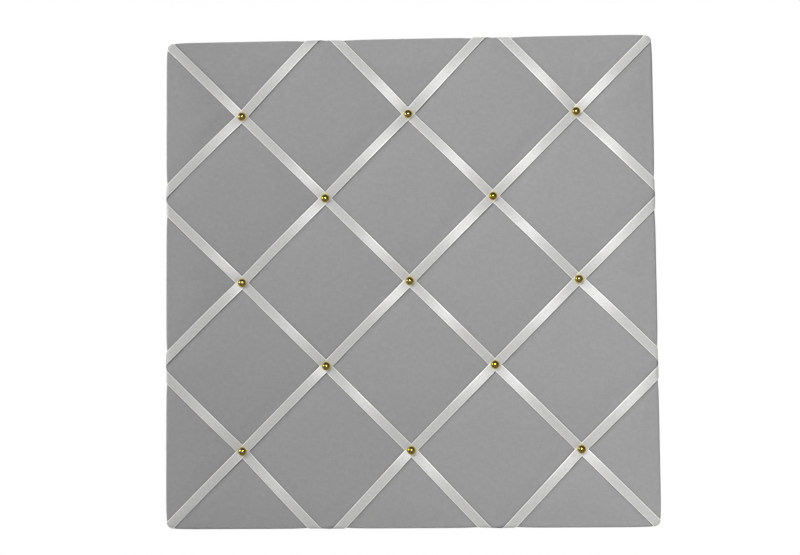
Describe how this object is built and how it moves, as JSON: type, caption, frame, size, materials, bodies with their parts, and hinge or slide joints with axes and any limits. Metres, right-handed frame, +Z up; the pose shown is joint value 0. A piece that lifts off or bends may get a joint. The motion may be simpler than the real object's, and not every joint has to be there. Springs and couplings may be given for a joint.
{
  "type": "french memo board",
  "caption": "Square padded memo board covered in plain cotton, with crossed satin ribbons under domed brass studs to tuck notes behind, and ring hangers on its back.",
  "frame": {"origin": "middle of the backing card's rear face, which lies against the wall", "axes": "+X to the right and +Z up as seen from the front, +Y out of the back towards the wall, the front faces -Y"},
  "size_m": [0.5024, 0.0255, 0.5024],
  "materials": {
    "cotton": "matt mid-grey plain weave",
    "satin": "white satin with a soft sheen",
    "wadding": "white fibre wadding",
    "softboard": "raw wood-fibre softboard",
    "card": "raw brown card",
    "brass": "polished",
    "steel": "bright zinc plate"
  },
  "bodies": {
    "board": {"core_board": "softboard", "wadding": "wadding", "fabric_cover": "cotton", "ribbon_falling_1": "satin", "ribbon_falling_2": "satin", "ribbon_falling_3": "satin", "ribbon_falling_4": "satin", "ribbon_falling_5": "satin", "ribbon_rising_1": "satin", "ribbon_rising_2": "satin", "ribbon_rising_3": "satin", "ribbon_rising_4": "satin", "ribbon_rising_5": "satin", "stud_01": "brass", "stud_02": "brass", "stud_03": "brass", "stud_04": "brass", "stud_05": "brass", "stud_06": "brass", "stud_07": "brass", "stud_08": "brass", "stud_09": "brass", "stud_10": "brass", "stud_11": "brass", "stud_12": "brass", "stud_13": "brass", "staple_01": "steel", "staple_02": "steel", "staple_03": "steel", "staple_04": "steel", "staple_05": "steel", "staple_06": "steel", "staple_07": "steel", "staple_08": "steel", "staple_09": "steel", "staple_10": "steel", "staple_11": "steel", "staple_12": "steel", "staple_13": "steel", "staple_14": "steel", "staple_15": "steel", "staple_16": "steel", "staple_17": "steel", "staple_18": "steel", "staple_19": "steel", "staple_20": "steel", "backing_card": "card", "hanger_strap_left": "steel", "hanger_screw_left": "steel", "hanger_strap_right": "steel", "hanger_screw_right": "steel"},
    "left_ring": {"hanger_ring_left": "steel"},
    "right_ring": {"hanger_ring_right": "steel"}
  },
  "joints": [
    {"name": "left_ring_swing", "type": "hinge", "parent": "board", "child": "left_ring", "pos_m": [-0.13, -0.00275, 0.178], "axis": [-1, 0, 0], "range_deg": [0, 174]},
    {"name": "right_ring_swing", "type": "hinge", "parent": "board", "child": "right_ring", "pos_m": [0.13, -0.00275, 0.178], "axis": [-1, 0, 0], "range_deg": [0, 174]}
  ]
}
